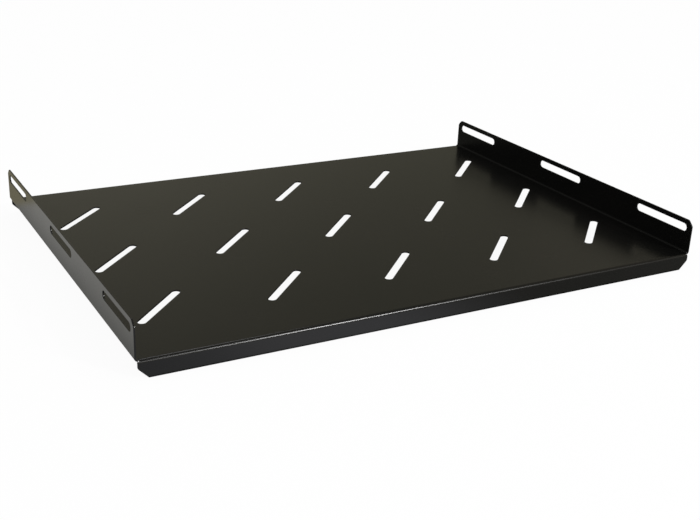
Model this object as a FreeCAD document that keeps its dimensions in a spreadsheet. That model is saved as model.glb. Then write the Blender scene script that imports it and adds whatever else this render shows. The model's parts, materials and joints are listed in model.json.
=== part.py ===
# Rack shelf for equipment racks, folded from one steel sheet.
# A flat deck has an upturned flange along each side and a downturned lip along the front
# and the rear. Slanted vent slots are punched in the deck and level bolt slots in the flanges.
# Millimetres: +X runs to the right, +Y to the rear and +Z up. The origin is in the middle of
# the shelf, level with the bottom edges of the two lips, which the shelf stands on.
import FreeCAD, Part
import math
import os
import Sketcher
from FreeCAD import Vector

NODE = "rack_shelf"

# Driving dimensions in millimetres, and one angle in degrees
SIZES = [
    ("width", 482, "over the outer faces of the two side flanges"),
    ("depth", 350, "over the outer faces of the two lips"),
    ("sheet", 1.2, "thickness of the steel sheet"),
    ("bend_radius", 1.5, "inside radius of every fold"),
    ("flange_rise", 28.1, "top edge of a flange above the top of the deck"),
    ("flange_end_inset", 1, "end of a flange behind the outer face of the lip"),
    ("flange_corner_cut", 4.5, "slanted cut at the top corners of a flange"),
    ("flange_corner_radius", 2.5, "rounding where that cut meets the edges"),
    ("lip_drop", 13.5, "bottom edge of a lip below the top of the deck"),
    ("lip_end_inset", 1.7, "end of a lip inside the outer face of the flange"),
    ("lip_corner_cut", 7.5, "slanted cut at the bottom corners of a lip"),
    ("lip_corner_radius", 2.5, "rounding where that cut meets the end of the lip"),
    ("relief_width", 0.5, "slit that parts the side fold from the lip's fold"),
    ("relief_run", 0.5, "how far the slit runs past the lip's fold into the deck"),
    ("relief_gap", 0.15, "clearance between the side fold and the end of the lip below it"),
    ("vent_length", 62, "overall length of a vent slot"),
    ("vent_width", 6.5, "width of a vent slot"),
    ("vent_angle", 45, "slant of a vent slot, from front left to rear right"),
    ("vent_pitch_x", 99, "from one column of vent slots to the next"),
    ("vent_pitch_y", 100, "from one row of vent slots to the next"),
    ("vent_margin", 15, "least plain deck between a vent slot and the edge of the shelf"),
    ("bolt_slot_length", 60.5, "overall length of a bolt slot"),
    ("bolt_slot_width", 6.8, "width of a bolt slot, clear of an M6 bolt"),
    ("bolt_slot_drop", 7.6, "middle of a bolt slot below the top edge of the flange"),
    ("bolt_slot_pitch", 138, "from one bolt slot to the next"),
    ("bolt_slot_margin", 6, "least plain flange beyond the last bolt slot"),
]

# Places and counts that follow from the driving dimensions
LAYOUT = [
    ("half_width", "Sizes.width / 2"),
    ("half_depth", "Sizes.depth / 2"),
    ("side_fold_x", "Sizes.width / 2 - Sizes.bend_radius - Sizes.sheet"),
    ("slit_x", "Sizes.width / 2 - Sizes.bend_radius - Sizes.sheet - Sizes.relief_width"),
    ("slit_y", "Sizes.depth / 2 - Sizes.bend_radius - Sizes.sheet - Sizes.relief_run"),
    ("notch_floor", "Sizes.lip_drop - Sizes.sheet - Sizes.relief_gap"),
    ("lip_length", "Sizes.width - 2 * Sizes.lip_end_inset"),
    ("flange_length", "Sizes.depth - 2 * Sizes.flange_end_inset"),
    ("flange_top", "Sizes.lip_drop + Sizes.flange_rise"),
    ("vent_straight", "Sizes.vent_length - Sizes.vent_width"),
    ("vent_radius", "Sizes.vent_width / 2"),
    ("vent_span_x", "Layout.vent_straight * cos(Sizes.vent_angle) + Sizes.vent_width"),
    ("vent_span_y", "Layout.vent_straight * sin(Sizes.vent_angle) + Sizes.vent_width"),
    ("vent_columns", "1 + floor((Sizes.width - 2 * Sizes.vent_margin - Layout.vent_span_x)"
                     " / Sizes.vent_pitch_x)"),
    ("vent_rows", "1 + floor((Sizes.depth - 2 * Sizes.vent_margin - Layout.vent_span_y)"
                  " / Sizes.vent_pitch_y)"),
    ("last_vent_x", "(Layout.vent_columns - 1) / 2 * Sizes.vent_pitch_x"),
    ("last_vent_y", "(Layout.vent_rows - 1) / 2 * Sizes.vent_pitch_y"),
    ("bolt_slot_straight", "Sizes.bolt_slot_length - Sizes.bolt_slot_width"),
    ("bolt_slot_radius", "Sizes.bolt_slot_width / 2"),
    ("bolt_slot_z", "Layout.flange_top - Sizes.bolt_slot_drop"),
    ("bolt_slots", "1 + floor((Sizes.depth - 2 * Sizes.bolt_slot_margin - Sizes.bolt_slot_length)"
                   " / Sizes.bolt_slot_pitch)"),
    ("last_bolt_slot_y", "(Layout.bolt_slots - 1) / 2 * Sizes.bolt_slot_pitch"),
]

# Ends of a sketch curve, its centre, and the sketch's own origin
START, END, CENTRE = 1, 2, 3
ORIGIN = (-1, 1)
HORIZONTAL_AXIS = -1

# Two coordinates nearer than this count as one
NEAR = 1e-4


def make_sheet(doc):
    sheet = doc.addObject("Spreadsheet::Sheet", "Sizes")
    for row, (alias, number, meaning) in enumerate(SIZES, start=1):
        sheet.set(f"A{row}", alias)
        sheet.set(f"B{row}", str(number))
        sheet.setAlias(f"B{row}", alias)
        sheet.set(f"C{row}", meaning)
    return sheet


def make_layout(doc):
    layout = doc.addObject("App::VarSet", "Layout")
    for name, formula in LAYOUT:
        layout.addProperty("App::PropertyFloat", name, "Layout")
        layout.setExpression(name, formula)
    doc.recompute()
    return layout


def source_of(name):
    """Where a named size is kept, as an expression."""
    in_sheet = any(name == alias for alias, number, meaning in SIZES)
    return ("Sizes." if in_sheet else "Layout.") + name


def number_of(doc, name):
    """What a named size is now."""
    holder, field = source_of(name).split(".")
    return float(getattr(doc.getObject(holder), field))


def origin_plane(body, role):
    return next(item for item in body.Origin.OriginFeatures if item.Role == role)


def new_sketch(body, name, plane_role):
    sketch = body.newObject("Sketcher::SketchObject", name)
    sketch.AttachmentSupport = [(origin_plane(body, plane_role), "")]
    sketch.MapMode = "FlatFace"
    return sketch


def heading(curve, place):
    """Direction of a curve at its start or end."""
    parameter = curve.FirstParameter if place == START else curve.LastParameter
    return curve.tangent(parameter)[0]


def line(x0, y0, x1, y1):
    return Part.LineSegment(Vector(x0, y0, 0), Vector(x1, y1, 0)), START, END


def arc(x, y, radius, first_angle, last_angle, clockwise=False):
    """Part of a circle between two angles in degrees, which an outline may follow backwards."""
    circle = Part.Circle(Vector(x, y, 0), Vector(0, 0, 1), radius)
    curve = Part.ArcOfCircle(circle, math.radians(first_angle), math.radians(last_angle))
    return (curve, END, START) if clockwise else (curve, START, END)


def draw_outline(sketch, pieces):
    """Add lines and arcs that follow one another round a closed outline.

    Ends are joined, smooth joints are held tangent and straight pieces level or upright.
    """
    numbers = [sketch.addGeometry(curve) for curve, entry, leave in pieces]
    for index, (curve, entry, leave) in enumerate(pieces):
        after = (index + 1) % len(pieces)
        next_curve, next_entry, next_leave = pieces[after]
        turn = heading(curve, leave).cross(heading(next_curve, next_entry)).Length
        joint = "Tangent" if turn < NEAR else "Coincident"
        sketch.addConstraint(
            Sketcher.Constraint(joint, numbers[index], leave, numbers[after], next_entry))
        if isinstance(curve, Part.LineSegment):
            run = curve.EndPoint - curve.StartPoint
            if abs(run.y) < NEAR:
                sketch.addConstraint(Sketcher.Constraint("Horizontal", numbers[index]))
            elif abs(run.x) < NEAR:
                sketch.addConstraint(Sketcher.Constraint("Vertical", numbers[index]))
    return numbers


def dimension(sketch, kind, name, *places, label=None):
    """Hold a distance, radius or angle of the sketch at a named size."""
    label = label or name
    references = [number for place in places for number in place]
    number = number_of(sketch.Document, name)
    formula = source_of(name)
    if kind == "Angle":
        number = math.radians(number)
        formula += " * 1 deg"
    index = sketch.addConstraint(Sketcher.Constraint(kind, *references, number))
    sketch.renameConstraint(index, label)
    sketch.setExpression("Constraints." + label, formula)


def pad(body, name, sketch, length):
    """Thicken a sketch to both sides of its plane."""
    feature = body.newObject("PartDesign::Pad", name)
    feature.Profile = sketch
    feature.SideType = "Symmetric"
    feature.setExpression("Length", source_of(length))
    return feature


def pocket(body, name, sketch, side="Symmetric"):
    """Cut a sketch out of everything, to both sides of its plane or only above it."""
    feature = body.newObject("PartDesign::Pocket", name)
    feature.Profile = sketch
    feature.Type = "ThroughAll"
    feature.SideType = side
    feature.Reversed = side == "One side"
    return feature


def deck_and_lips(body):
    """The section from the front lip over the deck to the rear lip, run along X."""
    doc = body.Document
    reach = number_of(doc, "half_depth")
    top = number_of(doc, "lip_drop")
    thickness = number_of(doc, "sheet")
    inner = number_of(doc, "bend_radius")
    outer = inner + thickness
    fold_y = reach - outer
    fold_z = top - outer
    sketch = new_sketch(body, "deck_and_lips_section", "YZ_Plane")
    front, front_outer, deck, rear_outer, rear, rear_edge, rear_inner_face, rear_inner, \
        underside, front_inner, front_inner_face, front_edge = draw_outline(sketch, [
            line(-reach, 0, -reach, fold_z),
            arc(-fold_y, fold_z, outer, 90, 180, clockwise=True),
            line(-fold_y, top, fold_y, top),
            arc(fold_y, fold_z, outer, 0, 90, clockwise=True),
            line(reach, fold_z, reach, 0),
            line(reach, 0, reach - thickness, 0),
            line(reach - thickness, 0, reach - thickness, fold_z),
            arc(fold_y, fold_z, inner, 0, 90),
            line(fold_y, top - thickness, -fold_y, top - thickness),
            arc(-fold_y, fold_z, inner, 90, 180),
            line(thickness - reach, fold_z, thickness - reach, 0),
            line(thickness - reach, 0, -reach, 0),
        ])
    for one, other in ((front_outer, front_inner), (rear_outer, rear_inner)):
        sketch.addConstraint(Sketcher.Constraint("Coincident", one, CENTRE, other, CENTRE))
    for edge in (front_edge, rear_edge):
        sketch.addConstraint(Sketcher.Constraint("PointOnObject", edge, START, HORIZONTAL_AXIS))
    dimension(sketch, "DistanceX", "half_depth", (front, START), ORIGIN, label="to_front")
    dimension(sketch, "DistanceX", "half_depth", ORIGIN, (rear, START), label="to_rear")
    dimension(sketch, "DistanceY", "lip_drop", ORIGIN, (deck, START))
    dimension(sketch, "DistanceX", "sheet", (front_edge, END), (front_edge, START))
    dimension(sketch, "Radius", "bend_radius", (front_inner,), label="front_bend")
    dimension(sketch, "Radius", "bend_radius", (rear_inner,), label="rear_bend")
    return pad(body, "deck_and_lips", sketch, "lip_length")


def corner_notches(body):
    """Cut the deck back to the right-hand fold, with a relief slit at each end of the fold.

    The ends of the lips stay below the cut and reach out under the side fold.
    """
    doc = body.Document
    fold = number_of(doc, "side_fold_x")
    side = number_of(doc, "half_width")
    slit_x = number_of(doc, "slit_x")
    slit_y = number_of(doc, "slit_y")
    end = number_of(doc, "half_depth")
    sketch = new_sketch(body, "corner_notch_outline", "XY_Plane")
    sketch.setExpression("AttachmentOffset.Base.z", source_of("notch_floor"))
    fold_line, rear_step, rear_slit, rear_end, outside, front_end, front_slit, front_step = \
        draw_outline(sketch, [
            line(fold, -slit_y, fold, slit_y),
            line(fold, slit_y, slit_x, slit_y),
            line(slit_x, slit_y, slit_x, end),
            line(slit_x, end, side, end),
            line(side, end, side, -end),
            line(side, -end, slit_x, -end),
            line(slit_x, -end, slit_x, -slit_y),
            line(slit_x, -slit_y, fold, -slit_y),
        ])
    dimension(sketch, "DistanceX", "side_fold_x", ORIGIN, (fold_line, START))
    dimension(sketch, "DistanceX", "half_width", ORIGIN, (outside, START))
    dimension(sketch, "DistanceX", "slit_x", ORIGIN, (rear_slit, START), label="rear_slit_x")
    dimension(sketch, "DistanceX", "slit_x", ORIGIN, (front_slit, START), label="front_slit_x")
    dimension(sketch, "DistanceY", "slit_y", ORIGIN, (rear_step, START), label="rear_slit_y")
    dimension(sketch, "DistanceY", "slit_y", (front_step, END), ORIGIN, label="front_slit_y")
    dimension(sketch, "DistanceY", "half_depth", ORIGIN, (rear_end, START), label="to_rear")
    dimension(sketch, "DistanceY", "half_depth", (front_end, START), ORIGIN, label="to_front")
    return pocket(body, "corner_notches", sketch, side="One side")


def side_flange(body):
    """The right-hand fold and the flange above it, run along Y."""
    doc = body.Document
    fold = number_of(doc, "side_fold_x")
    top = number_of(doc, "lip_drop")
    edge = number_of(doc, "flange_top")
    thickness = number_of(doc, "sheet")
    inner = number_of(doc, "bend_radius")
    outer = inner + thickness
    fold_z = top + inner
    sketch = new_sketch(body, "side_flange_section", "XZ_Plane")
    root, inner_fold, inner_face, top_edge, outer_face, outer_fold = draw_outline(sketch, [
        line(fold, top - thickness, fold, top),
        arc(fold, fold_z, inner, 270, 360),
        line(fold + inner, fold_z, fold + inner, edge),
        line(fold + inner, edge, fold + outer, edge),
        line(fold + outer, edge, fold + outer, fold_z),
        arc(fold, fold_z, outer, 270, 360, clockwise=True),
    ])
    sketch.addConstraint(
        Sketcher.Constraint("Coincident", inner_fold, CENTRE, outer_fold, CENTRE))
    sketch.addConstraint(Sketcher.Constraint("PointOnObject", inner_fold, CENTRE, root))
    dimension(sketch, "DistanceX", "side_fold_x", ORIGIN, (root, START))
    dimension(sketch, "DistanceY", "lip_drop", ORIGIN, (root, END))
    dimension(sketch, "DistanceY", "sheet", (root, START), (root, END))
    dimension(sketch, "DistanceY", "flange_rise", (root, END), (top_edge, START))
    dimension(sketch, "Radius", "bend_radius", (inner_fold,))
    return pad(body, "side_flange", sketch, "flange_length")


def mirror_to_left(body, originals):
    """Repeat the right-hand features on the left."""
    feature = body.newObject("PartDesign::Mirrored", "left_side")
    feature.Originals = originals
    feature.MirrorPlane = (origin_plane(body, "YZ_Plane"), [""])
    body.Tip = feature
    return feature


def slot_outline(body, name, plane_role, prefix, place, angle_name=None):
    """A round-ended slot about a point of the sketch, level or at the named slant."""
    doc = body.Document
    radius = number_of(doc, prefix + "_radius")
    angle = number_of(doc, angle_name) if angle_name else 0
    slant = FreeCAD.Rotation(Vector(0, 0, 1), angle)
    along = slant.multVec(Vector(number_of(doc, prefix + "_straight") / 2, 0, 0))
    aside = slant.multVec(Vector(0, radius, 0))
    middle = Vector(number_of(doc, place[0]), number_of(doc, place[1]), 0)
    far = middle + along
    near = middle - along
    sketch = new_sketch(body, name, plane_role)
    far_end, upper, near_end, lower = draw_outline(sketch, [
        arc(far.x, far.y, radius, angle - 90, angle + 90),
        line(far.x + aside.x, far.y + aside.y, near.x + aside.x, near.y + aside.y),
        arc(near.x, near.y, radius, angle + 90, angle + 270),
        line(near.x - aside.x, near.y - aside.y, far.x - aside.x, far.y - aside.y),
    ])
    centre_line = sketch.addGeometry(Part.LineSegment(near, far), True)
    centre_mark = sketch.addGeometry(Part.Point(middle), True)
    sketch.addConstraint([
        Sketcher.Constraint("Coincident", centre_line, START, near_end, CENTRE),
        Sketcher.Constraint("Coincident", centre_line, END, far_end, CENTRE),
        Sketcher.Constraint("Symmetric", centre_line, START, centre_line, END, centre_mark, START),
    ])
    if angle_name:
        sketch.addConstraint(Sketcher.Constraint("Equal", far_end, near_end))
        dimension(sketch, "Angle", angle_name, (centre_line,))
    dimension(sketch, "Distance", prefix + "_straight", (centre_line,))
    dimension(sketch, "Radius", prefix + "_radius", (far_end,))
    dimension(sketch, "DistanceX", place[0], ORIGIN, (centre_mark, START))
    dimension(sketch, "DistanceY", place[1], ORIGIN, (centre_mark, START))
    return sketch


def repeat_cut(body, name, cut, sketch, rows):
    """Repeat a cut at an even pitch, back from the last one, along one or two sketch axes."""
    feature = body.newObject("PartDesign::MultiTransform", name)
    feature.Originals = [cut]
    steps = []
    for axis, pitch, count in rows:
        step = body.newObject("PartDesign::LinearPattern", f"{name}_by_{pitch}")
        step.Direction = (sketch, [axis])
        step.Reversed = True
        step.Mode = "Spacing"
        step.setExpression("Offset", source_of(pitch))
        step.setExpression("Occurrences", source_of(count))
        steps.append(step)
    feature.Transformations = steps
    body.Tip = feature
    return feature


def vent_slots(body):
    sketch = slot_outline(body, "vent_outline", "XY_Plane", "vent",
                          ("last_vent_x", "last_vent_y"), angle_name="vent_angle")
    cut = pocket(body, "last_vent", sketch)
    return repeat_cut(body, "vents", cut, sketch, [
        ("H_Axis", "vent_pitch_x", "vent_columns"),
        ("V_Axis", "vent_pitch_y", "vent_rows"),
    ])


def bolt_slots(body):
    """Level slots through both flanges at once."""
    sketch = slot_outline(body, "bolt_slot_outline", "YZ_Plane", "bolt_slot",
                          ("last_bolt_slot_y", "bolt_slot_z"))
    cut = pocket(body, "last_bolt_slots", sketch)
    return repeat_cut(body, "bolt_slots", cut, sketch, [
        ("H_Axis", "bolt_slot_pitch", "bolt_slots"),
    ])


def edges_at(feature, place):
    """Names of the straight edges that lie at the given distances from the origin's planes.

    The place names a distance in X, Y and Z, on either side of the origin, and the edge runs
    along the axis whose distance is None.
    """
    names = []
    for number, edge in enumerate(feature.Shape.Edges, start=1):
        ends = [vertex.Point for vertex in edge.Vertexes]
        if len(ends) == 2 and all(
                abs(abs(ends[0][axis]) - distance) < NEAR and
                abs(ends[0][axis] - ends[1][axis]) < NEAR
                for axis, distance in enumerate(place) if distance is not None):
            names.append(f"Edge{number}")
    return names


def dress(body, kind, name, base, places, size):
    """Chamfer or fillet the edges found at the given places."""
    names = [edge for place in places for edge in edges_at(base, place)]
    feature = body.newObject("PartDesign::" + kind, name)
    feature.Base = (base, names)
    feature.setExpression("Size" if kind == "Chamfer" else "Radius", source_of(size))
    body.Tip = feature
    body.Document.recompute()
    return feature


def cut_corners(body, base):
    """Slanted corners on the flanges and the lips, rounded where the sheet's edge turns."""
    doc = body.Document
    flange_end = number_of(doc, "flange_length") / 2
    flange_top = number_of(doc, "flange_top")
    flange_cut = number_of(doc, "flange_corner_cut")
    lip_end = number_of(doc, "lip_length") / 2
    lip_cut = number_of(doc, "lip_corner_cut")
    cut = dress(body, "Chamfer", "flange_corners", base,
                [(None, flange_end, flange_top)], "flange_corner_cut")
    cut = dress(body, "Fillet", "flange_corner_rounding", cut,
                [(None, flange_end - flange_cut, flange_top),
                 (None, flange_end, flange_top - flange_cut)], "flange_corner_radius")
    cut = dress(body, "Chamfer", "lip_corners", cut, [(lip_end, None, 0)], "lip_corner_cut")
    return dress(body, "Fillet", "lip_corner_rounding", cut,
                 [(lip_end, None, lip_cut)], "lip_corner_radius")


def build_shelf(doc):
    body = doc.addObject("PartDesign::Body", NODE)
    body.Label = NODE
    deck_and_lips(body)
    notches = corner_notches(body)
    flange = side_flange(body)
    mirror_to_left(body, [notches, flange])
    doc.recompute()
    vent_slots(body)
    slots = bolt_slots(body)
    doc.recompute()
    cut_corners(body, slots)
    return body


def check(doc, body):
    for item in doc.Objects:
        if "Invalid" in item.State or "Error" in item.State:
            raise RuntimeError(f"{item.Label} failed: {item.State}")
        if item.TypeId == "Sketcher::SketchObject" and not item.FullyConstrained:
            raise RuntimeError(f"{item.Label} isn't fully constrained")
    shape = body.Shape
    if shape.isNull() or not shape.isValid() or len(shape.Solids) != 1:
        raise RuntimeError("the shelf isn't one valid solid")


def main():
    doc = FreeCAD.newDocument("rack_shelf_model")
    make_sheet(doc)
    doc.recompute()
    make_layout(doc)
    body = build_shelf(doc)
    doc.recompute()
    check(doc, body)
    os.makedirs("parts", exist_ok=True)
    body.Shape.exportStep(f"parts/{body.Label}.step")
    box = body.Shape.BoundBox
    print(f"{body.Label}: {box.XLength:.2f} x {box.YLength:.2f} x {box.ZLength:.2f} mm,"
          f" {body.Shape.Volume / 1000:.1f} cm3, {len(body.Shape.Faces)} faces")


main()
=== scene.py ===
# Rack shelf: one steel sheet that is punched, folded and powder coated in satin black.
# Metres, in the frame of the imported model: +X to the right, +Y to the rear and +Z up.
# The shelf is modelled as a thin skin, folded along its four edges and then punched. Modifiers
# give the skin the sheet's thickness and the soft edges that the coat leaves.
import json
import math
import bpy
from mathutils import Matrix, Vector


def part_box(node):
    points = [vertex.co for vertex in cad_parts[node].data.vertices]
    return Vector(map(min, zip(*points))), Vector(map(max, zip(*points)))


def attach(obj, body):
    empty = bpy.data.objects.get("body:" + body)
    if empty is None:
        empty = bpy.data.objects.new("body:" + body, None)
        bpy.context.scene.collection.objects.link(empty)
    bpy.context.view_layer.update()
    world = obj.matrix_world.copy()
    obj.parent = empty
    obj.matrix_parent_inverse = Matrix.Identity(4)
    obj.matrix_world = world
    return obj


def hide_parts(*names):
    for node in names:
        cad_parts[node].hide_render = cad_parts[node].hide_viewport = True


bl_info = {
    "name": "Rack Shelf",
    "version": (1, 0, 0),
    "blender": (4, 5, 0),
    "location": "3D View > Sidebar > Rack Shelf",
    "description": "Folds a powder-coated rack shelf out of one sheet and sets a studio round it",
    "category": "Add Mesh",
}

from dataclasses import dataclass

import bmesh
import bpy
from bpy.props import FloatProperty, FloatVectorProperty, IntProperty, PointerProperty
from mathutils import Matrix, Vector

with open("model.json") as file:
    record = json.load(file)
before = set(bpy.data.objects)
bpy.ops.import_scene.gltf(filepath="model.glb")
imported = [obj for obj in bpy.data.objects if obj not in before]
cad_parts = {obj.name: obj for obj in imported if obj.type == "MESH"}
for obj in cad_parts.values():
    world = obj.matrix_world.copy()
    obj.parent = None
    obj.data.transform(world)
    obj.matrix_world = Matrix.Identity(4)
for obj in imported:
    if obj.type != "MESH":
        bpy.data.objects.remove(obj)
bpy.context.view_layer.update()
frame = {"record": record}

NODE = "rack_shelf"
PIECE = "coated_sheet"

MM = 0.001
MICRON = 0.000001
NEAR = 0.01 * MM
UP = Vector((0, 0, 1))

# Steps in a quarter turn of a fold, in the round end of a slot and in a rounded corner
FOLD_STEPS = 8
SLOT_END_STEPS = 20
CORNER_STEPS = 5
# Slant of the cuts at the corners of the flanges and lips, in degrees from their edges
CUT_ANGLE = 45
# Steps across a softened edge. An edge is softened if it turns by more than this many degrees, as the
# cut edges do. The steps of folds and of round ends turn by far less
EDGE_STEPS = 3
EDGE_TURN = 40
# Width of the camera's sensor in millimetres
SENSOR_WIDTH = 36

node_low, node_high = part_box(NODE)
mounts = {mount["name"]: mount for mount in frame["record"]["mounts"]}
bolt_mount = mounts["left_front_bolt_slots"]


def linear(code):
    """Linear colour, as shaders want it, from an sRGB hex value."""
    parts = [int(code[place:place + 2], 16) / 255 for place in (1, 3, 5)]
    return [part / 12.92 if part <= 0.04045 else ((part + 0.055) / 1.055) ** 2.4 for part in parts]


def length(name, description, metres):
    return FloatProperty(name=name, description=description, default=metres, unit="LENGTH", precision=5)


def colour(name, description, code):
    return FloatVectorProperty(name=name, description=description, default=linear(code),
                               subtype="COLOR", min=0, max=1)


def fraction(name, description, default):
    return FloatProperty(name=name, description=description, default=default, min=0, max=1,
                         subtype="FACTOR")


def degrees(name, description, default):
    return FloatProperty(name=name, description=description, default=math.radians(default),
                         subtype="ANGLE")


def watts(name, description, default):
    return FloatProperty(name=name, description=description, default=default, min=0, subtype="POWER")


def whole_number(name, description, default):
    return IntProperty(name=name, description=description, default=default, min=1)


class ShelfSizes(bpy.types.PropertyGroup):
    width: length("Width", "Over the outer faces of the side flanges", node_high.x - node_low.x)
    depth: length("Depth", "Over the outer faces of the two lips", node_high.y - node_low.y)
    height: length("Height", "Top of the flanges above the bottom of the lips", node_high.z)
    deck_height: length("Deck height", "Top of the deck above the bottom of the lips",
                        mounts["deck_top"]["pos_m"][2])
    sheet: length("Sheet", "Thickness of the coated steel sheet", 1.2 * MM)
    bend_radius: length("Bend radius", "Inside radius of every fold", 1.5 * MM)
    edge_radius: length("Edge radius", "How round the coat leaves a cut edge", 0.18 * MM)
    flange_end_inset: length("Flange end inset", "End of a flange behind the face of the lip", 1 * MM)
    flange_corner_cut: length("Flange corner cut", "Slanted cut at a flange's top corners", 4.5 * MM)
    lip_end_inset: length("Lip end inset", "End of a lip inside the face of the flange", 1.7 * MM)
    lip_corner_cut: length("Lip corner cut", "Slanted cut at a lip's bottom corners", 7.5 * MM)
    corner_radius: length("Corner radius", "Rounding where a slanted cut meets an edge", 2.5 * MM)
    relief_width: length("Relief width", "Slit at each end of a fold", 0.5 * MM)
    lip_ear_rise: length("Lip ear rise", "How far the ends of a lip reach up past the deck's underside",
                         0.24 * MM)
    vent_length: length("Vent length", "Overall length of a vent slot", 62 * MM)
    vent_width: length("Vent width", "Width of a vent slot", 6.5 * MM)
    vent_angle: degrees("Vent angle", "Slant of a vent slot from the front lip", 45)
    vent_pitch_x: length("Vent pitch across", "From one column of vent slots to the next", 99 * MM)
    vent_pitch_y: length("Vent pitch in depth", "From one row of vent slots to the next", 100 * MM)
    vent_columns: whole_number("Vent columns", "Vent slots in a row", 5)
    vent_rows: whole_number("Vent rows", "Rows of vent slots", 3)
    bolt_slot_length: length("Bolt slot length", "Overall length of a slot in a flange",
                             bolt_mount["dims"]["slot_length_mm"] * MM)
    bolt_slot_width: length("Bolt slot width", "Width of a slot in a flange",
                            2 * bolt_mount["dims"]["hole_r_mm"] * MM)
    bolt_slot_pitch: length("Bolt slot pitch", "From one bolt slot to the next",
                            bolt_mount["dims"]["spacing_x_mm"] * MM)
    bolt_slot_height: length("Bolt slot height", "Middle of a bolt slot above the bottom of the lips",
                             bolt_mount["pos_m"][2])
    bolt_slots: whole_number("Bolt slots", "Slots in each flange", 3)


class CoatFinish(bpy.types.PropertyGroup):
    thick: colour("Coat", "Colour where the powder lies thick", "#070706")
    thin: colour("Thin coat", "Colour where the powder lies thinner", "#090807")
    roughness: fraction("Roughness", "Roughness of the cured powder", 0.25)
    roughness_spread: fraction("Roughness spread", "How far the roughness wanders", 0.03)
    cloud_size: length("Cloud size", "Patches in which the coat's thickness wanders", 55 * MM)
    peel_size: length("Peel size", "Width of a dimple of the orange peel", 2.2 * MM)
    peel_height: length("Peel height", "Depth of the orange peel", 4 * MICRON)
    grain_size: length("Grain size", "Width of the powder's fine grain", 0.5 * MM)
    grain_height: length("Grain height", "Height of the powder's fine grain", 0.5 * MICRON)


class StudioSettings(bpy.types.PropertyGroup):
    floor_size: length("Floor size", "Side of the square floor", 12)
    floor: colour("Floor", "Pale paper that the shelf stands on", "#F2F2F2")
    shadow: fraction("Shadow", "How much of the shadow the white floor keeps", 0.05)
    key_power: watts("Key light", "Small soft box at the front right", 45)
    side_power: watts("Side light", "Faint soft box above the key light", 3.5)
    top_power: watts("Top light", "Faint soft box over the rear", 1.8)
    fill: fraction("Fill", "Even light from all round", 0.72)
    lens: FloatProperty(name="Lens", description=f"Focal length on a {SENSOR_WIDTH} mm wide sensor",
                        default=56.829, min=1, unit="CAMERA")
    camera_place: FloatVectorProperty(name="Camera place", description="Where the camera stands",
                                      default=(-0.43384, -0.79008, 0.34347), subtype="TRANSLATION")
    heading: degrees("Heading", "Camera's turn to the right of straight ahead", 29.4875)
    dip: degrees("Dip", "How far down the camera looks", 21.908)
    roll: degrees("Roll", "Camera's turn about its own line of sight", 2.426)


# Drawing the skin

def once(items):
    """Each item once, in the order in which they come, so that every run does the same."""
    return list(dict.fromkeys(items))


def edges_where(bm, test):
    """Edges with both ends where the test holds."""
    return [edge for edge in bm.edges if all(test(vert.co) for vert in edge.verts)]


def verts_where(bm, test):
    return [vert for vert in bm.verts if test(vert.co)]


def draw_out(bm, edges, offset):
    """Carry edges of the skin on by a flat strip."""
    made = bmesh.ops.extrude_edge_only(bm, edges=edges)["geom"]
    verts = [item for item in made if isinstance(item, bmesh.types.BMVert)]
    bmesh.ops.translate(bm, verts=verts, vec=offset)


def round_corners(bm, verts, size, steps):
    """Cut corners of the skin by that much along both edges: straight across, or in an arc."""
    bmesh.ops.bevel(bm, geom=verts, offset=size, offset_type="OFFSET", segments=steps,
                    profile=0.5, affect="VERTICES", material=-1)


def bend(bm, line, centre, axis, angle, steps):
    """Carry a line of edges on round a fold, and return it at its new place."""
    parts = once(item for edge in line for item in (edge, *edge.verts))
    spun = bmesh.ops.spin(bm, geom=parts, cent=centre, axis=axis, angle=angle, steps=steps)
    return [item for item in spun["geom_last"] if isinstance(item, bmesh.types.BMEdge)]


def cut_across(bm, faces, place, normal):
    """Cut faces along a plane, and return all of them."""
    parts = once(item for face in faces for item in (face, *face.edges, *face.verts))
    cut = bmesh.ops.bisect_plane(bm, geom=parts, dist=NEAR, plane_co=place, plane_no=normal)
    return [item for item in cut["geom"] if isinstance(item, bmesh.types.BMFace)]


def rim_width(sizes):
    """Width of the narrow faces beside a cut, which hold its soft edge."""
    return 2 * sizes.edge_radius


@dataclass
class Fold:
    """A flange or a lip, with the fold that carries it along one edge of the deck.

    The deck's edge faces out. It lies at the reach and runs to half on both sides. A strip as wide
    as the relief slits leads from it to the start of the fold. There the sheet turns up or down,
    the way being 1 or -1, and it ends in a plate at the end height. Past the slits the fold and
    its plate are longer by the ears, which start at the ear height. The plate's far corners are
    cut off, and the cuts are rounded where they meet its ends, or its ends and its long edge.
    """
    sizes: ShelfSizes
    out: Vector
    reach: float
    half: float
    way: int
    radius: float
    end_height: float
    ear: float
    ear_height: float
    corner_cut: float
    both_corners: bool

    def __post_init__(self):
        self.along = UP.cross(self.out)
        self.start = self.reach + self.sizes.relief_width
        self.plate_start = self.sizes.deck_height + self.way * self.radius
        self.tip = self.half + self.ear


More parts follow.
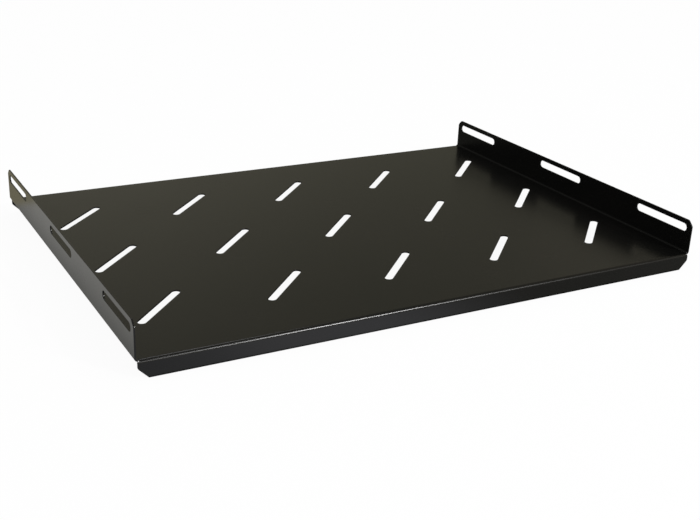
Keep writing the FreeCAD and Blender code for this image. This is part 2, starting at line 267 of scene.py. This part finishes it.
def bend_edge(bm, fold):
    """Turn the edge of the deck up or down, and carry it on as the plate. Returns the fold's strips."""
    def at_deck_edge(at):
        return abs(at.dot(fold.out) - fold.reach) < NEAR and abs(at.dot(fold.along)) < fold.half + NEAR

    draw_out(bm, edges_where(bm, at_deck_edge), fold.out * fold.sizes.relief_width)
    line = edges_where(bm, lambda at: abs(at.dot(fold.out) - fold.start) < NEAR)

    # The fold is bent in two stages, because a lip's ears start part of the way round
    centre = fold.out * fold.start + UP * fold.plate_start
    ear_turn = math.acos(1 - abs(fold.ear_height - fold.sizes.deck_height) / fold.radius)
    ear_steps = round(FOLD_STEPS * ear_turn / (math.pi / 2))
    for turn, steps in ((ear_turn, ear_steps), (math.pi / 2 - ear_turn, FOLD_STEPS - ear_steps)):
        if steps:
            line = bend(bm, line, centre, fold.out.cross(UP), fold.way * turn, steps)

    strips = [face for face in bm.faces if face.calc_center_median().dot(fold.out) > fold.reach]
    draw_out(bm, line, UP * (fold.end_height - fold.plate_start))
    return strips


def add_ears(bm, fold, strips):
    """Carry the fold and its plate on past the relief slits."""
    # A narrow end to each strip keeps the soft edge of the slit out of the long strips
    for side in (-1, 1):
        sideways = fold.along * side
        strips = cut_across(bm, strips, sideways * (fold.half - rim_width(fold.sizes)), sideways)

    for side in (-1, 1):
        sideways = fold.along * side

        def beside_slit(at):
            return (abs(at.dot(sideways) - fold.half) < NEAR and at.dot(fold.out) > fold.start - NEAR
                    and fold.way * (at.z - fold.ear_height) > -NEAR)

        draw_out(bm, edges_where(bm, beside_slit), sideways * fold.ear)

    # The plate is made one face with its ears
    def at_seam(at):
        return (abs(abs(at.dot(fold.along)) - fold.half) < NEAR and at.dot(fold.out) > fold.start
                and fold.way * (at.z - fold.plate_start) > -NEAR)

    bmesh.ops.dissolve_edges(bm, edges=edges_where(bm, at_seam), use_verts=True)


def cut_corners(bm, fold):
    """Cut the far corners off the plate, and round the cuts where they meet its edges."""
    def at_corner(at):
        return abs(abs(at.dot(fold.along)) - fold.tip) < NEAR and abs(at.z - fold.end_height) < NEAR

    def at_cut(at):
        inward = fold.tip - abs(at.dot(fold.along))
        back = fold.way * (fold.end_height - at.z)
        on_end = abs(inward) < NEAR and abs(back - fold.corner_cut) < NEAR
        on_edge = abs(inward - fold.corner_cut) < NEAR and abs(back) < NEAR
        return at.dot(fold.out) > fold.start and (on_end or fold.both_corners and on_edge)

    round_corners(bm, verts_where(bm, at_corner), fold.corner_cut, 1)
    tangent = fold.sizes.corner_radius * math.tan(math.radians(CUT_ANGLE / 2))
    round_corners(bm, verts_where(bm, at_cut), tangent, CORNER_STEPS)


def add_fold(bm, fold):
    strips = bend_edge(bm, fold)
    add_ears(bm, fold, strips)
    cut_corners(bm, fold)


def draw_slot(bm, middle, along, normal, slot_length, slot_width):
    """Edges of a round-ended slot: two half turns, joined by straight sides."""
    radius = slot_width / 2
    side = normal.cross(along) * radius
    ends = []
    for toward in (1, -1):
        centre = middle + along * toward * (slot_length / 2 - radius)
        first = bm.verts.new(centre - side * toward)
        turned = bmesh.ops.spin(bm, geom=[first], cent=centre, axis=normal, angle=math.pi,
                                steps=SLOT_END_STEPS)["geom_last"]
        last = next(item for item in turned if isinstance(item, bmesh.types.BMVert))
        ends.append((first, last))
    bm.edges.new((ends[0][1], ends[1][0]))
    bm.edges.new((ends[1][1], ends[0][0]))


def punch(bm, plate, normal, slots, rim):
    """Punch slots in one flat face, with a narrow rim of even faces round every cut."""
    border = list(plate.edges)
    level = plate.verts[0].co.dot(normal)
    bmesh.ops.delete(bm, geom=[plate], context="FACES_KEEP_BOUNDARY")
    earlier = set(bm.edges)
    for middle, along, slot_length, slot_width in slots:
        draw_slot(bm, middle, along, normal, slot_length, slot_width)
    outline = border + [edge for edge in bm.edges if edge not in earlier]
    filled = bmesh.ops.triangle_fill(bm, edges=outline, use_beauty=True, normal=normal)["geom"]
    faces = [item for item in filled if isinstance(item, bmesh.types.BMFace)]
    bmesh.ops.inset_region(bm, faces=faces, thickness=rim, use_boundary=True, use_even_offset=True)
    # Every point inside the rim is set on the plane of the plate
    for vert in once(vert for face in faces for vert in face.verts):
        vert.co += normal * (level - vert.co.dot(normal))


def evenly(count, pitch):
    """Places at an even pitch about the middle."""
    return [(place - (count - 1) / 2) * pitch for place in range(count)]


def widest_face(bm, test):
    """The largest face with all its corners where the test holds."""
    return max((face for face in bm.faces if all(test(vert.co) for vert in face.verts)),
               key=lambda face: face.calc_area())


def folded_blank(sizes):
    """The deck with its flanges folded up and its lips folded down, as a skin without thickness."""
    outer_radius = sizes.bend_radius + sizes.sheet
    deck_x = sizes.width / 2 - outer_radius - sizes.relief_width
    deck_y = sizes.depth / 2 - outer_radius - sizes.relief_width
    bm = bmesh.new()
    deck = Matrix.Translation(UP * sizes.deck_height) @ Matrix.Diagonal((deck_x, deck_y, 1, 1))
    bmesh.ops.create_grid(bm, x_segments=1, y_segments=1, size=1, matrix=deck)
    for side in (-1, 1):
        add_fold(bm, Fold(
            sizes, out=Vector((side, 0, 0)), reach=deck_x, half=deck_y, way=1,
            radius=sizes.bend_radius, end_height=sizes.height,
            ear=sizes.depth / 2 - sizes.flange_end_inset - deck_y, ear_height=sizes.deck_height,
            corner_cut=sizes.flange_corner_cut, both_corners=True))
    for side in (-1, 1):
        add_fold(bm, Fold(
            sizes, out=Vector((0, side, 0)), reach=deck_y, half=deck_x, way=-1,
            radius=outer_radius, end_height=0,
            ear=sizes.width / 2 - sizes.lip_end_inset - deck_x,
            ear_height=sizes.deck_height - sizes.sheet + sizes.lip_ear_rise,
            corner_cut=sizes.lip_corner_cut, both_corners=False))
    return bm


def punch_vents(bm, sizes):
    deck = widest_face(bm, lambda at: abs(at.z - sizes.deck_height) < NEAR)
    slant = Vector((math.cos(sizes.vent_angle), math.sin(sizes.vent_angle), 0))
    vents = [(Vector((x, y, sizes.deck_height)), slant, sizes.vent_length, sizes.vent_width)
             for x in evenly(sizes.vent_columns, sizes.vent_pitch_x)
             for y in evenly(sizes.vent_rows, sizes.vent_pitch_y)]
    punch(bm, deck, UP, vents, rim_width(sizes))


def punch_bolt_slots(bm, sizes):
    inside = sizes.width / 2 - sizes.sheet
    for side in (-1, 1):
        flange = widest_face(bm, lambda at: abs(at.x * side - inside) < NEAR)
        bolt_slots = [(Vector((side * inside, y, sizes.bolt_slot_height)), Vector((0, 1, 0)),
                       sizes.bolt_slot_length, sizes.bolt_slot_width)
                      for y in evenly(sizes.bolt_slots, sizes.bolt_slot_pitch)]
        punch(bm, flange, Vector((-side, 0, 0)), bolt_slots, rim_width(sizes))


def shelf_skin(sizes):
    """The upper side of the sheet, with the deck's top, the lips' faces and the flanges' insides."""
    bm = folded_blank(sizes)
    punch_vents(bm, sizes)
    punch_bolt_slots(bm, sizes)

    bmesh.ops.remove_doubles(bm, verts=bm.verts, dist=MICRON)
    bmesh.ops.recalc_face_normals(bm, faces=bm.faces)
    bm.normal_update()
    # The deck faces up, because the sheet's thickness goes to the back of the skin
    deck_face = max(bm.faces, key=lambda face: abs(face.normal.z) * face.calc_area())
    if deck_face.normal.z < 0:
        bmesh.ops.reverse_faces(bm, faces=bm.faces)
    for face in bm.faces:
        face.smooth = True
    return bm


# Materials

def add_node(tree, kind, inputs=None, **settings):
    """Add a node with its settings. An input is a value, or a socket that it is linked to."""
    node = tree.nodes.new(kind)
    for name, value in settings.items():
        setattr(node, name, value)
    for name, value in (inputs or {}).items():
        if isinstance(value, bpy.types.NodeSocket):
            tree.links.new(value, node.inputs[name])
        else:
            node.inputs[name].default_value = value
    return node


def add_mix(tree, share, first, second):
    """A colour between two, which the share moves from the first to the second."""
    node = add_node(tree, "ShaderNodeMix", data_type="RGBA")
    for name, value in (("Factor_Float", share), ("A_Color", first), ("B_Color", second)):
        socket = next(item for item in node.inputs if item.identifier == name)
        if isinstance(value, bpy.types.NodeSocket):
            tree.links.new(value, socket)
        else:
            socket.default_value = value
    return next(item for item in node.outputs if item.identifier == "Result_Color")


def add_math(tree, operation, first, second):
    return add_node(tree, "ShaderNodeMath", {0: first, 1: second}, operation=operation).outputs[0]


def add_ramp(tree, value, start, end):
    """Rises smoothly from 0 to 1 as the value goes from start to end."""
    return add_node(tree, "ShaderNodeMapRange", {"Value": value, "From Min": start, "From Max": end},
                    interpolation_type="SMOOTHSTEP").outputs["Result"]


def new_tree(owner):
    owner.use_nodes = True
    owner.node_tree.nodes.clear()
    return owner.node_tree


# Nearly all values of a noise lie between these two
NOISE_LOW, NOISE_HIGH = 0.3, 0.7
# Between these values of the drifts' noise, the coat passes from thick to thin
THICK_END, THIN_START = 0.35, 0.65
# How much the drifts of powder and the fine grain each move the roughness
CLOUD_SHARE, GRAIN_SHARE = 0.6, 0.4
# Refractive index of polyester
COAT_IOR = 1.5


def powder_coat(finish):
    """Black polyester powder coat, cured smooth on steel: a satin plastic skin over the metal.

    The powder melts into a skin 0.08 mm thick. To the eye it is nearly black, and all its grey
    comes from the soft mirror image of the room. Faint orange peel makes that image waver.
    """
    material = bpy.data.materials.new("satin_black_powder_coat")
    tree = new_tree(material)
    at = add_node(tree, "ShaderNodeTexCoord").outputs["Object"]

    # Drifts of thicker and thinner powder, tens of millimetres across
    clouds = add_node(tree, "ShaderNodeTexNoise",
                      {"Vector": at, "Scale": 1 / finish.cloud_size, "Detail": 3, "Roughness": 0.5})
    # Orange peel is 1 to 3 mm from dimple to dimple on a coat of this kind
    peel = add_node(tree, "ShaderNodeTexNoise",
                    {"Vector": at, "Scale": 1 / finish.peel_size, "Detail": 1, "Roughness": 0.4})
    # The real grain is the size of the powder, 0.04 mm, and is drawn coarser so that it shows
    grain = add_node(tree, "ShaderNodeTexNoise",
                     {"Vector": at, "Scale": 1 / finish.grain_size, "Detail": 2, "Roughness": 0.6})

    thinness = add_ramp(tree, clouds.outputs["Fac"], THICK_END, THIN_START)
    base = add_mix(tree, thinness, [*finish.thick, 1], [*finish.thin, 1])
    wander = add_math(tree, "ADD", add_math(tree, "MULTIPLY", clouds.outputs["Fac"], CLOUD_SHARE),
                      add_math(tree, "MULTIPLY", grain.outputs["Fac"], GRAIN_SHARE))
    roughness = add_node(tree, "ShaderNodeMapRange", {
        "Value": wander, "From Min": NOISE_LOW, "From Max": NOISE_HIGH,
        "To Min": finish.roughness - finish.roughness_spread,
        "To Max": finish.roughness + finish.roughness_spread}).outputs["Result"]
    dimples = add_node(tree, "ShaderNodeBump",
                       {"Height": peel.outputs["Fac"], "Distance": finish.peel_height})
    relief = add_node(tree, "ShaderNodeBump", {
        "Height": grain.outputs["Fac"], "Distance": finish.grain_height,
        "Normal": dimples.outputs["Normal"]})
    shader = add_node(tree, "ShaderNodeBsdfPrincipled", {
        "Base Color": base, "Roughness": roughness, "Normal": relief.outputs["Normal"],
        "Metallic": 0, "IOR": COAT_IOR})
    add_node(tree, "ShaderNodeOutputMaterial", {"Surface": shader.outputs["BSDF"]})
    return material


# Painted light and shade on the floor as the coat mirrors it, region by region round the shelf
# Painted contact shadow beside the left flange, which fades to the paler floor further out
FLOOR_LEFT_CONTACT_SHADE = "#999995"
FLOOR_LEFT_FAR = "#DAD9D4"
FLOOR_REAR_LEFT = "#B0A98D"
FLOOR_REAR_RIGHT = "#50504A"
FLOOR_FRONT_END = "#B2B3B6"
FLOOR_FRONT_LEFT = "#DDDEE3"
FLOOR_FRONT_RIGHT = "#80807A"
# Painted shadow under the shelf
FLOOR_UNDER_SHADOW = "#101010"
# Where those tones pass into each other, in metres outwards from the faces of the shelf
LEFT_PASSAGE = (0.002, 0.032)
REAR_PASSAGE = (0.005, 0.03)
FRONT_PASSAGE = (-0.03, 0)
SIDE_SHADE = (-0.02, 0)
END_SHADE = (0, 0.003)
# Where the floor behind the shelf is dark, where the floor in front of it is palest and where that
# goes dim again, in metres to the right of its middle
REAR_DARK = -0.05
FRONT_PALE = -0.12
FRONT_DIMMING = (-0.07, 0.1)

# The room as the coat mirrors it
ROOM_PALE = "#9B9887"
ROOM_DIM = "#777566"
ROOM_RIGHT = "#908B7C"
ROOM_ABOVE = "#7C7A74"
ROOM_LEFT = "#565652"
# The directions from the shelf along which the room's tone changes, and where on the way it does
DIMMING, DIMMING_PASSAGE = (0.8, 0, 0.6), (0.36, 0.62)
RIGHTWARD, RIGHTWARD_PASSAGE = (1, 0, 0), (0.57, 0.7)
OFF_LEFT, OFF_LEFT_PASSAGE = (1, 0, -0.6), (-0.25, 0)
UPWARD, UPWARD_PASSAGE = (0, 0, 1), (0.72, 0.92)


def studio_paper(settings, sizes):
    """White paper. Seen straight on it is white, and keeps a little of the shelf's shadow.

    The coat mirrors it with painted light and shade: palest in front, brown behind, a painted contact
    shadow beside the left flange and a painted shadow under the shelf.
    """
    material = bpy.data.materials.new("white_studio_paper")
    tree = new_tree(material)
    place = add_node(tree, "ShaderNodeSeparateXYZ", {
        "Vector": add_node(tree, "ShaderNodeTexCoord").outputs["Object"]})
    x, y = place.outputs["X"], place.outputs["Y"]
    ray = add_node(tree, "ShaderNodeLightPath").outputs
    half_width, half_depth = sizes.width / 2, sizes.depth / 2

    def shade(share, first, second):
        """Mix two tones, each a hex value or a socket."""
        tones = [[*linear(tone), 1] if isinstance(tone, str) else tone for tone in (first, second)]
        return add_mix(tree, share, *tones)

    def passing(value, face, passage):
        """Rises from 0 to 1 along a passage, which is measured outwards from a face of the shelf."""
        outwards = math.copysign(1, face)
        return add_ramp(tree, value, face + outwards * passage[0], face + outwards * passage[1])

    left = shade(passing(x, -half_width, LEFT_PASSAGE), FLOOR_LEFT_CONTACT_SHADE, FLOOR_LEFT_FAR)
    rear = shade(add_ramp(tree, x, -half_width, REAR_DARK), FLOOR_REAR_LEFT, FLOOR_REAR_RIGHT)
    front = shade(add_ramp(tree, x, -half_width, FRONT_PALE), FLOOR_FRONT_END, FLOOR_FRONT_LEFT)
    front = shade(add_ramp(tree, x, *FRONT_DIMMING), front, FLOOR_FRONT_RIGHT)
    around = shade(passing(y, half_depth, REAR_PASSAGE), left, rear)
    around = shade(passing(y, -half_depth, FRONT_PASSAGE), around, front)
    # Painted shadow under the shelf, fading out at its sides and just past its lips
    beside = passing(add_math(tree, "ABSOLUTE", x, 0), half_width, SIDE_SHADE)
    beyond = passing(add_math(tree, "ABSOLUTE", y, 0), half_depth, END_SHADE)
    painted_reflection = shade(add_math(tree, "MAXIMUM", beside, beyond), FLOOR_UNDER_SHADOW, around)

    # Only the coat's mirror image sees this painted light and shade; seen straight on, the floor glows
    # plain white
    glow = shade(ray["Is Glossy Ray"], "#FFFFFF", painted_reflection)
    seen = add_math(tree, "MAXIMUM", ray["Is Camera Ray"], ray["Is Transmission Ray"])
    share = add_math(tree, "ADD", add_math(tree, "MULTIPLY", seen, 1 - settings.shadow),
                     ray["Is Glossy Ray"])
    paper = add_node(tree, "ShaderNodeBsdfDiffuse", {"Color": [*settings.floor, 1]})
    light = add_node(tree, "ShaderNodeEmission", {"Color": glow, "Strength": 1})
    both = add_node(tree, "ShaderNodeMixShader", {
        0: share, 1: paper.outputs["BSDF"], 2: light.outputs["Emission"]})
    add_node(tree, "ShaderNodeOutputMaterial", {"Surface": both.outputs["Shader"]})
    return material


def surroundings(settings):
    """White behind the picture, an even fill, and the dim room that the coat mirrors."""
    world = bpy.data.worlds.new("studio_room")
    tree = new_tree(world)
    toward = add_node(tree, "ShaderNodeTexCoord").outputs["Generated"]
    ray = add_node(tree, "ShaderNodeLightPath").outputs

    def turning(direction, passage):
        """Rises from 0 to 1 along a passage, as the view turns towards a direction."""
        turned = add_node(tree, "ShaderNodeVectorMath", {0: toward, 1: direction},
                          operation="DOT_PRODUCT").outputs["Value"]
        return add_ramp(tree, turned, *passage)

    pale, dim, right, above, left = (
        [*linear(tone), 1] for tone in (ROOM_PALE, ROOM_DIM, ROOM_RIGHT, ROOM_ABOVE, ROOM_LEFT))
    room = add_mix(tree, turning(DIMMING, DIMMING_PASSAGE), pale, dim)
    room = add_mix(tree, turning(RIGHTWARD, RIGHTWARD_PASSAGE), room, right)
    room = add_mix(tree, turning(OFF_LEFT, OFF_LEFT_PASSAGE), left, room)
    room = add_mix(tree, turning(UPWARD, UPWARD_PASSAGE), room, above)
    fill = add_mix(tree, ray["Is Glossy Ray"], [settings.fill] * 3 + [1], room)
    seen = add_math(tree, "MAXIMUM", ray["Is Camera Ray"], ray["Is Transmission Ray"])
    shown = add_mix(tree, seen, fill, [1, 1, 1, 1])
    light = add_node(tree, "ShaderNodeBackground", {"Color": shown, "Strength": 1})
    add_node(tree, "ShaderNodeOutputWorld", {"Surface": light.outputs["Background"]})
    return world


# Objects

def new_object(name, data):
    item = bpy.data.objects.new(name, data)
    bpy.context.scene.collection.objects.link(item)
    return item


def add_modifier(piece, kind, **settings):
    modifier = piece.modifiers.new(kind.title(), kind)
    for name, value in settings.items():
        setattr(modifier, name, value)
    return modifier


# Where the soft boxes stand, and their sides
KEY_PLACE, KEY_SIDES = (1.23, -2.48, 1.419), (0.34, 0.23)
SIDE_PLACE, SIDE_SIDES = (0.77, -1.93, 2.11), (0.45, 0.25)
TOP_PLACE, TOP_SIDES = (0.41, 0.78, 1.65), (0.42, 0.42)


def add_soft_box(name, place, sides, power):
    """A soft box that faces the middle of the shelf."""
    lamp = bpy.data.lights.new(name, "AREA")
    lamp.shape = "RECTANGLE"
    lamp.size, lamp.size_y = sides
    lamp.energy = power
    box = new_object(name, lamp)
    box.location = place
    box.rotation_euler = Vector(place).to_track_quat("Z", "Y").to_euler()
    return box


class RACKSHELF_OT_add_shelf(bpy.types.Operator):
    """Add the folded and coated sheet in place of the plain model"""
    bl_idname = "rack_shelf.add_shelf"
    bl_label = "Add Shelf"

    def execute(self, context):
        sizes = context.scene.shelf_sizes
        skin = shelf_skin(sizes)
        mesh = bpy.data.meshes.new(PIECE)
        skin.to_mesh(mesh)
        skin.free()
        mesh.materials.append(powder_coat(context.scene.coat_finish))
        shelf = new_object(PIECE, mesh)
        add_modifier(shelf, "SOLIDIFY", thickness=sizes.sheet, offset=-1, use_even_offset=True)
        add_modifier(shelf, "BEVEL", width=sizes.edge_radius, segments=EDGE_STEPS, limit_method="ANGLE",
                     angle_limit=math.radians(EDGE_TURN), profile=0.5, use_clamp_overlap=False)
        add_modifier(shelf, "WEIGHTED_NORMAL", keep_sharp=False)
        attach(shelf, "root")
        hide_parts(NODE)
        return {"FINISHED"}


class RACKSHELF_OT_add_stage(bpy.types.Operator):
    """Add the floor, the room, the soft boxes and the camera"""
    bl_idname = "rack_shelf.add_stage"
    bl_label = "Add Stage"

    def execute(self, context):
        scene = context.scene
        settings = scene.studio_settings
        bm = bmesh.new()
        bmesh.ops.create_grid(bm, x_segments=1, y_segments=1, size=settings.floor_size / 2)
        mesh = bpy.data.meshes.new("studio_floor")
        bm.to_mesh(mesh)
        bm.free()
        mesh.materials.append(studio_paper(settings, scene.shelf_sizes))
        new_object("studio_floor", mesh)

        scene.world = surroundings(settings)
        scene.view_settings.view_transform = "Standard"
        add_soft_box("key_light", KEY_PLACE, KEY_SIDES, settings.key_power)
        add_soft_box("side_light", SIDE_PLACE, SIDE_SIDES, settings.side_power)
        add_soft_box("top_light", TOP_PLACE, TOP_SIDES, settings.top_power)

        view = bpy.data.cameras.new("camera")
        view.sensor_width = SENSOR_WIDTH
        view.lens = settings.lens
        camera = new_object("camera", view)
        camera.matrix_world = (
            Matrix.Translation(settings.camera_place) @ Matrix.Rotation(-settings.heading, 4, "Z")
            @ Matrix.Rotation(math.pi / 2 - settings.dip, 4, "X") @ Matrix.Rotation(settings.roll, 4, "Z"))
        scene.camera = camera
        return {"FINISHED"}


class RACKSHELF_PT_panel(bpy.types.Panel):
    """Sizes, finish and studio of the rack shelf"""
    bl_idname = "RACKSHELF_PT_panel"
    bl_label = "Rack Shelf"
    bl_space_type = "VIEW_3D"
    bl_region_type = "UI"
    bl_category = "Rack Shelf"

    def draw(self, context):
        for label, group in (("Shelf", context.scene.shelf_sizes), ("Coat", context.scene.coat_finish),
                             ("Studio", context.scene.studio_settings)):
            box = self.layout.box()
            box.label(text=label)
            for name in group.__annotations__:
                box.prop(group, name)
        self.layout.operator(RACKSHELF_OT_add_shelf.bl_idname)
        self.layout.operator(RACKSHELF_OT_add_stage.bl_idname)


CLASSES = (ShelfSizes, CoatFinish, StudioSettings, RACKSHELF_OT_add_shelf, RACKSHELF_OT_add_stage,
           RACKSHELF_PT_panel)


def register():
    for item in CLASSES:
        bpy.utils.register_class(item)
    bpy.types.Scene.shelf_sizes = PointerProperty(type=ShelfSizes)
    bpy.types.Scene.coat_finish = PointerProperty(type=CoatFinish)
    bpy.types.Scene.studio_settings = PointerProperty(type=StudioSettings)


def unregister():
    del bpy.types.Scene.studio_settings
    del bpy.types.Scene.coat_finish
    del bpy.types.Scene.shelf_sizes
    for item in reversed(CLASSES):
        bpy.utils.unregister_class(item)


def main():
    register()
    bpy.ops.rack_shelf.add_shelf()
    bpy.ops.rack_shelf.add_stage()


if __name__ == "__main__":
    main()
